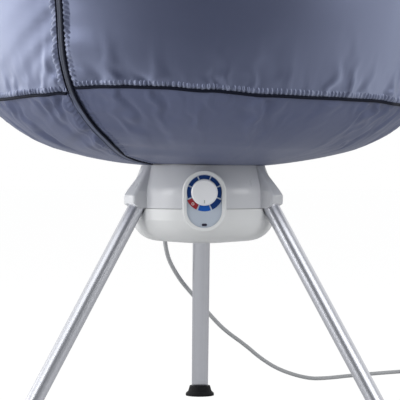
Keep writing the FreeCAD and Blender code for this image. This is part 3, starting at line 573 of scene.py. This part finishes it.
def seamFolds(turn, h, size, seed, reach):  # folds of uneven length and short gathers that fade from a seam
    s = seamSet
    h = max(h, 0.0)
    bend = s["sway"] * ringNoise(turn, s["swayFine"], seed + s["swaySeed"] + h / s["swayHeight"])
    bend += s["slant"] * ringNoise(turn, s["slantFine"], seed + s["swaySeed"]) * h
    patch = patchy(ringNoise(turn, s["patchFine"], seed + s["patchSeed"]), s["patchGain"])
    hold = ease(h / s["holdHeight"])
    long = ringNoise(turn + bend, s["longFine"], seed + h / s["longHeight"])
    long *= math.exp(-((h / (reach * ramp(s["longReach"], patch))) ** s["longFall"]))
    short = ringNoise(turn + bend, s["shortFine"], seed + s["shortSeed"] + h / s["shortHeight"])
    short *= math.exp(-h / (reach * s["shortReach"]))
    long *= ramp(s["longSize"], patch) * ramp(s["longHold"], hold)
    short *= s["shortShare"] * ramp(s["shortSize"], patch) * ramp(s["shortHold"], hold)
    return size * (long + short)


# slanted folds beside the zip, stronger on its left
zipFoldSet = {
    "size": 0.0050, "edge": 0.006, "grow": 0.006,
    "left": {"slant": 0.55, "seed": 0.3, "strong": 1.8}, "right": {"slant": 0.25, "seed": 4.3, "strong": 1.0},
    "long": 0.026, "longFade": 0.045,
    "short": 0.0095, "shortSeed": 9.0, "shortShare": 0.55, "shortFade": 0.013,
}


def zipFolds(turn, s, radius, seed):
    z = zipFoldSet
    d = zipDistance(turn, radius)
    side = z["left" if d < 0 else "right"]
    away = max(abs(d) - z["edge"], 0.0)
    slant = s + side["slant"] * away
    long = noise.noise(Vector((slant / z["long"], seed, side["seed"])))
    short = noise.noise(Vector((slant / z["short"], seed + z["shortSeed"], side["seed"])))
    long *= side["strong"] * math.exp(-away / z["longFade"])
    short *= z["shortShare"] * math.exp(-away / z["shortFade"])
    return z["size"] * ease(away / z["grow"]) * (long + short)


# how far each panel lies off its outline, with calm cloth beside the zip and the seams
sideSet = {
    "fold": 0.0058, "lowSeed": 1.0, "lowReach": 0.020, "highSeed": 31.0, "highReach": 0.026,
    "broad": 0.0050, "broadScale": 6.0, "fineShare": 0.2, "fineScale": 14.0,
    "calmSeam": 0.09, "calmZip": 0.008, "calmZipSpan": 0.05,
    "zipSeed": 3.0, "zipEnd": 0.03, "press": 0.0012, "pressFade": 0.01,
}
dishSet = {
    "fold": 0.0056, "seed": 61.0, "reach": 0.045,
    "swell": 0.0016, "swellLean": 0.5, "swellFine": 7.5, "swellSeed": 71.0, "swellFade": 0.12,
    "broad": 0.0018, "broadScale": 9.0, "zipSeed": 5.0, "zipFrom": 1.0, "zipStart": 0.12,
    "press": 0.0010, "pressFade": 0.01, "deck": 0.004, "deckSpan": 0.05,
}
crownSet = {
    "fold": 0.0058, "seed": 91.0, "reach": 0.05, "foldEnd": 0.1,
    "broad": 0.004, "broadScale": 7.0, "broadLow": 0.06, "broadTop": 0.08, "press": 0.001, "pressFade": 0.01,
}


def sideLift(turn, s):
    c = sideSet
    spot = sidePath.at(s)[0]
    top = sidePath.total - s
    p = roundSpot(turn, spot.x, spot.y)
    lift = seamFolds(turn, s, c["fold"], c["lowSeed"], c["lowReach"])
    lift += seamFolds(turn, top, c["fold"], c["highSeed"], c["highReach"])
    calm = ease(s / c["calmSeam"]) * ease(top / c["calmSeam"])
    calm *= ease((abs(zipDistance(turn, spot.x)) - c["calmZip"]) / c["calmZipSpan"])
    waves = noise.noise(p * c["broadScale"]) + c["fineShare"] * noise.noise(p * c["fineScale"])
    lift += c["broad"] * waves * calm
    lift += zipFolds(turn, s, spot.x, c["zipSeed"]) * ease(top / c["zipEnd"])
    return lift - c["press"] * (math.exp(-s / c["pressFade"]) + math.exp(-top / c["pressFade"]))


def dishLift(turn, s):
    c = dishSet
    spot = dishPath.at(s)[0]
    d = dishPath.total - s
    lift = seamFolds(turn, d, c["fold"], c["seed"], c["reach"])
    swell = ringNoise(turn + c["swellLean"] * d, c["swellFine"], c["swellSeed"])
    lift += c["swell"] * swell * math.exp(-d / c["swellFade"])
    lift += c["broad"] * noise.noise(roundSpot(turn, spot.x, spot.y) * c["broadScale"])
    lift += zipFolds(turn, c["zipFrom"] - d, spot.x, c["zipSeed"]) * ease(s / c["zipStart"])
    lift -= c["press"] * math.exp(-d / c["pressFade"])
    return lift * ease((s - c["deck"]) / c["deckSpan"])


def crownLift(turn, s):
    c = crownSet
    spot = crownPath.at(s)[0]
    top = crownPath.total - s
    lift = seamFolds(turn, s, c["fold"], c["seed"], c["reach"]) * ease(top / c["foldEnd"])
    waves = noise.noise(roundSpot(turn, spot.x, spot.y) * c["broadScale"])
    lift += c["broad"] * waves * ease(s / c["broadLow"]) * ease(top / c["broadTop"])
    return lift - c["press"] * math.exp(-s / c["pressFade"])


panels = {"dish": (dishPath, dishLift), "side": (sidePath, sideLift), "crown": (crownPath, crownLift)}

# the zip leans to the left near the low piping and low on the dish: degrees, metres, and widths in radians
driftSet = {"seam": -1.35, "height": 0.495, "span": 0.05, "dish": -15.0, "dishFrom": 0.09, "dishSpan": 0.15,
            "width": {"dish": 0.5, "side": 0.18, "crown": 0.18}}


def zipDrift(part, spot):
    c = driftSet
    if part == "crown":
        return 0.0
    lean = c["seam"] * math.exp(-((max(spot.y, seamHeight) - c["height"]) / c["span"]) ** 2)
    if part == "dish":
        low = 1 - ease((spot.x - c["dishFrom"]) / c["dishSpan"])
        lean = lean * spot.x / seamRadius + c["dish"] * low
    return math.radians(lean)


def podSpot(part, turn, s, out, key, soft=0.0, softSteps=3):
    # one point of the cloth: outline, seam wave at the angle key, and folds evened out over the angle soft
    path, lift = panels[part]
    spot, normal = path.at(s)
    wave = 0.0
    if part != "crown":
        away = s if part == "side" else path.total - s
        wave = waveAt(key) * math.exp(-away / waveSet["fade"])
    spots = [turn + soft * k / softSteps for k in range(-softSteps, softSteps + 1)] if soft else [turn]
    rise = sum(lift(t, s) for t in spots) / len(spots) + out
    near = math.exp(-(zipDistance(turn, 1.0) / driftSet["width"][part]) ** 2)
    turn += zipDrift(part, spot) * near
    return roundSpot(turn, spot.x + normal.x * rise, spot.y + normal.y * rise + wave)


def turnsFrom(startDeg, endDeg, count):
    return [math.radians(startDeg + (endDeg - startDeg) * i / (count - 1)) for i in range(count)]


def sideKey(turn, first, last, inset=1e-4):
    # the seam wave jumps at the zip, so a panel's edges take the value on their own side
    return min(max(math.degrees(turn), first + inset), last - inset)


def clothPanel(name, part, firstDeg, lastDeg, columns, stations):
    path = panels[part][0]
    verts, uvs = [], []
    for turn in turnsFrom(firstDeg, lastDeg, columns):
        key = sideKey(turn, firstDeg, lastDeg)
        for t in stations:
            s = path.total * t
            verts.append(podSpot(part, turn, s, 0.0, key))
            uvs.append((turn * pod["weaveRadius"], s))
    finish = finishes["pod_dish" if part == "dish" else "pod_nylon"]
    obj = addMesh(name, verts, gridFaces(columns, len(stations)), finish)
    layer = obj.data.uv_layers.new(name="clothGrid")
    for loop in obj.data.loops:
        layer.data[loop.index].uv = uvs[loop.vertex_index]
    return obj


def stationsEnd(rows):
    return [1 - (1 - i / (rows - 1)) ** pod["endCrowd"] for i in range(rows)]


def stationsBoth(rows):
    return [i / (rows - 1) - pod["bothCrowd"] * math.sin(2 * math.pi * i / (rows - 1)) for i in range(rows)]


def buildPod():
    z, columns = pod["zip"], pod["columns"]
    sideRows = stationsBoth(pod["sideRows"])
    crownRows = [1 - t for t in stationsEnd(pod["crownRows"])][::-1]
    dish = clothPanel("podDishCloth", "dish", z, z + 360, columns, stationsEnd(pod["dishRows"]))
    front = clothPanel("podFrontCloth", "side", z, z + 180, columns // 2, sideRows)
    back = clothPanel("podBackCloth", "side", z + 180, z + 360, columns // 2, sideRows)
    crown = clothPanel("podCrownCloth", "crown", z, z + 360, columns, crownRows)
    for obj, node in ((dish, "pod_dish"), (front, "pod_front"), (back, "pod_back"), (crown, "pod_crown")):
        place(obj, "stand", "pod_nylon", node)


buildPod()
print("pod cloth sewn")

# puckers of a gathered edge, shared by the pipings and the zip
toothSet = {"columns": 6, "sharp": 1.4, "level": 0.42}
# painted highlight: the gathered cloth is a lighter copy of the pod nylon with a paler slant colour, so its
# puckers read as lit
seamNylonPaintedHighlight = clothFinish("seamNylonPaintedHighlight", (0.1, 0.113, 0.18), (0.085, 0.096, 0.155), (0.3, 0.38), sheen=0.2,
                        gloss=1.0, useUv=False, edge=(0.28, 0.31, 0.42))


def toothAt(phase):
    return (0.5 + 0.5 * math.sin(2 * math.pi * phase)) ** toothSet["sharp"] - toothSet["level"]


piping = {
    "radius": 0.0022, "stand": 0.0017, "gap": 1.35, "points": 760, "evened": 0.03,
    "rows": (0.0016, 0.0034, 0.0056, 0.0078, 0.0102), "rise": (0.0004, 0.0010, 0.0010, 0.0005, -0.0007),
    "swing": (0.4, 1.0, 1.0, 0.8, 0.3), "tooth": 0.0062, "toothDepth": 0.0026,
    "jitter": 0.4, "jitterFine": 40.0, "jitterSeed": 7.0,
    "strong": (0.6, 0.65), "strongGain": 1.3, "strongFine": 11.0, "strongSeed": 17.0,
}


def buildPiping(name, node, low):
    c = piping
    first, last = pod["zip"] + c["gap"], pod["zip"] + 360 - c["gap"]
    seam = 0.0 if low else sidePath.total
    points = [podSpot("side", turn, seam, c["stand"], math.degrees(turn), c["evened"])
              for turn in turnsFrom(first, last, c["points"])]
    place(tubeAlong(name, points, c["radius"], finishes["trim_black"]), "stand", "trim_black", node)
    # gathered edge beside the bead
    columns = int(2 * math.pi * seamRadius / c["tooth"] * toothSet["columns"])
    verts = []
    for turn in turnsFrom(first, last, columns):
        jitter = c["jitter"] * ringNoise(turn, c["jitterFine"], c["jitterSeed"])
        phase = turn * seamRadius / c["tooth"] + jitter
        strong = ramp(c["strong"], patchy(ringNoise(turn, c["strongFine"], c["strongSeed"]), c["strongGain"]))
        depth = c["toothDepth"] * toothAt(phase) * strong
        for h, rise, swing in zip(c["rows"], c["rise"], c["swing"]):
            s = h if low else sidePath.total - h
            verts.append(podSpot("side", turn, s, rise + depth * swing, math.degrees(turn)))
    # the gathered edge uses the lighter seam cloth, a painted highlight
    gather = addMesh(name + "Gather", verts, gridFaces(columns, len(c["rows"])), seamNylonPaintedHighlight)
    place(gather, "stand", "pod_nylon")


buildPiping("lowPiping", "piping_low", True)
buildPiping("highPiping", "piping_high", False)
print("piping sewn")

zipSet = {
    "start": 0.0142, "step": 0.003, "evened": 4,
    "coverHalf": 0.0029, "coverRise": [(1.0, 0.0003), (0.72, 0.0011), (0.28, 0.00125)], "groove": 0.0004,
    "bead": 0.0046, "leftRadius": 0.0012, "rightRadius": 0.0016, "beadTop": 0.0013, "beadSides": 8,
    # the pale colours below the low piping are painted floor light
    "paleFrom": 0.463, "paleFade": 0.025, "paleTape": (0.15, 0.168, 0.235), "paleBead": (0.1, 0.113, 0.165),
    "across": (0.0056, 0.0076, 0.0100, 0.0126, 0.0156), "rise": (0.0002, 0.0009, 0.0010, 0.0004, -0.0008),
    "swing": (0.3, 1.0, 1.0, 0.8, 0.25), "tooth": 0.0070, "toothDepth": 0.0030, "toothLean": 0.012,
    "dishShare": 0.4, "jitter": 0.6, "jitterStep": 0.03, "jitterSeed": 8.0,
    "strong": (0.55, 0.75), "strongGain": 1.2, "strongStep": 0.05, "strongSeed": (3.0, 2.5), "edgeKey": 0.01,
}


def zipLine():  # outline spots, normals and turns up the zip, from the deck to the high piping
    line = []
    for part, path, first in (("dish", dishPath, zipSet["start"]), ("side", sidePath, 0.0)):
        count = int((path.total - first) / zipSet["step"])
        for i in range(count):
            spot, normal = path.at(first + (path.total - first) * i / count)
            line.append((spot, normal, math.radians(pod["zip"]) + zipDrift(part, spot)))
    eased = []
    n = zipSet["evened"]
    for i in range(len(line)):
        near = line[max(i - n, 0):i + n + 1]
        spot = sum((at[0] for at in near), Vector((0, 0))) / len(near)
        normal = sum((at[1] for at in near), Vector((0, 0))).normalized()
        turn = sum(at[2] for at in near) / len(near)
        eased.append((spot, normal, turn) if n <= i < len(line) - n else line[i])
    return eased


def zipPoint(spot, normal, turn, across, rise):
    sideways = Vector((math.cos(turn), math.sin(turn), 0))
    return roundSpot(turn, spot.x + normal.x * rise, spot.y + normal.y * rise) + sideways * across


def paintFloorLightBelow(mat, colour):  # painted light: the zip is paler on the dish than above the low piping, standing in for floor light on the underside
    tree = mat.node_tree
    height = splitVector(tree, objectCoords(tree))["Z"]
    low = spread(tree, height, (zipSet["paleFrom"], zipSet["paleFrom"] - zipSet["paleFade"]))
    return overBase(mat, low, colour)


zipTapeFinish = paintFloorLightBelow(clothFinish("zipTapeGrey", (0.09, 0.098, 0.12), (0.07, 0.077, 0.095), (0.5, 0.62),
                                      sheen=0.1, threads=4200.0, useUv=False), zipSet["paleTape"])
zipLeftFinish = paintFloorLightBelow(trimFinish("zipLeftBlack"), zipSet["paleBead"])


def buildZip():
    c = zipSet
    line = zipLine()
    left = [(-c["coverHalf"] * share, rise) for share, rise in c["coverRise"]]
    cross = left + [(0.0, c["groove"])] + [(-across, rise) for across, rise in left[::-1]]
    verts = [zipPoint(*at, across, rise) for at in line for across, rise in cross]
    cover = addMesh("zipCover", verts, gridFaces(len(line), len(cross)), zipTapeFinish)
    place(cover, "stand", "trim_black", "zip_tape")
    for name, across, radius, mat in (("zipBeadLeft", -c["bead"], c["leftRadius"], zipLeftFinish),
                                      ("zipBeadRight", c["bead"], c["rightRadius"], finishes["trim_black"])):
        points = [zipPoint(*at, across, c["beadTop"] - radius) for at in line]
        place(tubeAlong(name, points, radius, mat, c["beadSides"]), "stand", "trim_black")


def buildZipGather(name, part, first, sign):  # puckered cloth each side of the zip, flatter on the dish
    c = zipSet
    path = panels[part][0]
    size = c["toothDepth"] * (c["dishShare"] if part == "dish" else 1.0)
    rows = int((path.total - first) / c["tooth"] * toothSet["columns"])
    key = pod["zip"] + (c["edgeKey"] if sign > 0 else 360 - c["edgeKey"])
    verts = []
    for i in range(rows):
        s = first + (path.total - first) * i / (rows - 1)
        spot = path.at(s)[0]
        patch = noise.noise(Vector((s / c["strongStep"], sign * c["strongSeed"][0], c["strongSeed"][1])))
        strong = ramp(c["strong"], patchy(patch, c["strongGain"]))
        jitter = c["jitter"] * noise.noise(Vector((s / c["jitterStep"], sign, c["jitterSeed"])))
        for across, rise, swing in zip(c["across"], c["rise"], c["swing"]):
            turn = math.radians(pod["zip"]) + sign * across / spot.x
            tooth = toothAt(s / c["tooth"] + jitter + across / c["toothLean"])
            verts.append(podSpot(part, turn, s, rise + size * tooth * strong * swing, key))
    # the side gathers take the lighter seam cloth (painted highlight), the dish gathers take the dish cloth
    # (painted floor light)
    finish = finishes["pod_dish"] if part == "dish" else seamNylonPaintedHighlight
    place(addMesh(name, verts, gridFaces(rows, len(c["across"])), finish), "stand", "pod_nylon")


buildZip()
for label, sign in (("Left", -1), ("Right", 1)):
    buildZipGather("zipGatherDish" + label, "dish", zipSet["start"], sign)
    buildZipGather("zipGatherSide" + label, "side", 0.0, sign)
print("zip sewn")

# small marks on the dial and the knob
paleInk = plasticFinish("paleInk", (0.72, 0.6, 0.6), (0.66, 0.54, 0.54), (0.4, 0.5))
tickInk = plasticFinish("tickInk", (0.5, 0.54, 0.5), (0.46, 0.5, 0.46), (0.45, 0.55))


def buildOffRing():
    c = dialSet
    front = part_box("off_mark")[0][1]
    raised = front - c["ringRise"]
    cx, cz = c["centre"][0] - c["ringSpot"], c["centre"][1] - c["ringSpot"]
    section = [(c["ringInner"], front), (c["ringInner"] + c["ringBevel"], raised),
               (c["ringOuter"] - c["ringBevel"], raised), (c["ringOuter"], front)]
    verts = []
    for i in range(c["ringSteps"]):
        a = 2 * math.pi * i / c["ringSteps"]
        verts += [(cx + math.cos(a) * radius, y, cz + math.sin(a) * radius) for radius, y in section]
    ring = addMesh("offRing", verts, gridFaces(c["ringSteps"], len(section), True), paleInk)
    place(ring, "stand", "mark_red")


def buildKnobTick():
    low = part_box("timer_knob")[0]
    half = dialSet["tickWidth"] / 2
    tip = half * dialSet["tickTip"]
    foot = low[2] + dialSet["tickUp"]
    top = foot + dialSet["tickTall"]
    corners = [(-half, foot), (half, foot), (half, top - half), (tip, top), (-tip, top), (-half, top - half)]
    verts = [(x, low[1] + sunk, z) for sunk in dialSet["tickSunk"] for x, z in corners]
    n = len(corners)
    faces = [tuple(range(n))] + [(i, i + n, (i + 1) % n + n, (i + 1) % n) for i in range(n)]
    place(addMesh("knobTick", verts, faces, tickInk, False), "knob", "knob_plastic")


buildOffRing()
buildKnobTick()
print("dial marked")

# plain pale floor, soft light and a white background
floorSet = {"half": 30.0, "colour": (0.72, 0.72, 0.72, 1.0), "rough": 0.9, "glow": 1.13, "glowShare": 0.86,
            "mirrored": 0.3}
roomSet = {"fill": (0.92, 0.95, 1.0, 1.0), "fillStrength": 0.22, "white": (1.0, 1.0, 1.0, 1.0),
           "whiteStrength": 1.0, "behind": (-0.15, 0.35)}
lamps = {
    "leftWall": {"spot": (-2.1, 0.1, 0.45), "aim": (0, -0.05, 0.5), "power": 19, "size": (2.8, 0.9)},
    "rightWall": {"spot": (2.05, -1.05, 0.9), "aim": (0, -0.05, 0.35), "power": 10.5, "size": (1.2, 0.7)},
    "leftTop": {"spot": (-1.6, -0.6, 2.2), "aim": (0, 0, 0.5), "power": 17, "size": (2.0, 1.8)},
    "frontLeft": {"spot": (-2.2, -1.5, 0.95), "aim": (0, -0.1, 0.5), "power": 18.5, "size": (0.9, 1.2)},
    "frontRight": {"spot": (1.8, -1.9, 2.0), "aim": (0, -0.1, 0.4), "power": 26, "size": (2.4, 1.5)},
}


def seenMask(tree, mirrored):  # the camera sees the white, and mirrors see a share of it
    path = tree.nodes.new("ShaderNodeLightPath").outputs
    direct = mathNode(tree, "MAXIMUM", path["Is Camera Ray"], path["Is Transmission Ray"])
    return mathNode(tree, "MAXIMUM", direct, mathNode(tree, "MULTIPLY", path["Is Glossy Ray"], mirrored))


def mixShaders(tree, mask, first, second, output):
    mix = tree.nodes.new("ShaderNodeMixShader")
    for socket, value in zip(mix.inputs, (mask, first.outputs[0], second.outputs[0])):
        tree.links.new(value, socket)
    tree.links.new(mix.outputs[0], tree.nodes[output].inputs["Surface"])


def buildFloor():
    mat, tree, bsdf = newMaterial("paleFloor")
    mat.cycles.emission_sampling = "NONE"  # seen, but not a lamp
    setInputs(tree, bsdf, {"Base Color": floorSet["colour"], "Roughness": floorSet["rough"],
                           "Specular IOR Level": 0.0})
    glow = tree.nodes.new("ShaderNodeEmission")
    glow.inputs["Strength"].default_value = floorSet["glow"]
    seen = mathNode(tree, "MULTIPLY", seenMask(tree, floorSet["mirrored"]), floorSet["glowShare"])
    mixShaders(tree, seen, bsdf, glow, "Material Output")
    half = floorSet["half"]
    corners = [(-half, -half, 0), (half, -half, 0), (half, half, 0), (-half, half, 0)]
    floor = addMesh("floorSheet", corners, [(0, 1, 2, 3)], mat, False)


def buildRoom():
    scene.world = bpy.data.worlds.new("paleRoom")
    scene.world.use_nodes = True
    tree = scene.world.node_tree
    fill = tree.nodes["Background"]
    setInputs(tree, fill, {"Color": roomSet["fill"], "Strength": roomSet["fillStrength"]})
    white = tree.nodes.new("ShaderNodeBackground")
    setInputs(tree, white, {"Color": roomSet["white"], "Strength": roomSet["whiteStrength"]})
    ways = splitVector(tree, tree.nodes.new("ShaderNodeTexCoord").outputs["Generated"])
    behind = spread(tree, ways["Y"], roomSet["behind"])  # reflections see the white side behind the pod
    mixShaders(tree, seenMask(tree, behind), fill, white, "World Output")


def addLamp(name, spot, aim, power, size):
    lamp = bpy.data.lights.new(name, "AREA")
    lamp.shape = "RECTANGLE"
    lamp.size, lamp.size_y = size
    lamp.energy = power
    obj = addObject(name, lamp)
    obj.location = spot
    obj.rotation_euler = (Vector(aim) - Vector(spot)).to_track_quat("-Z", "Y").to_euler()


buildFloor()
buildRoom()
for name, values in lamps.items():
    addLamp(name, **values)
print("stage lit")
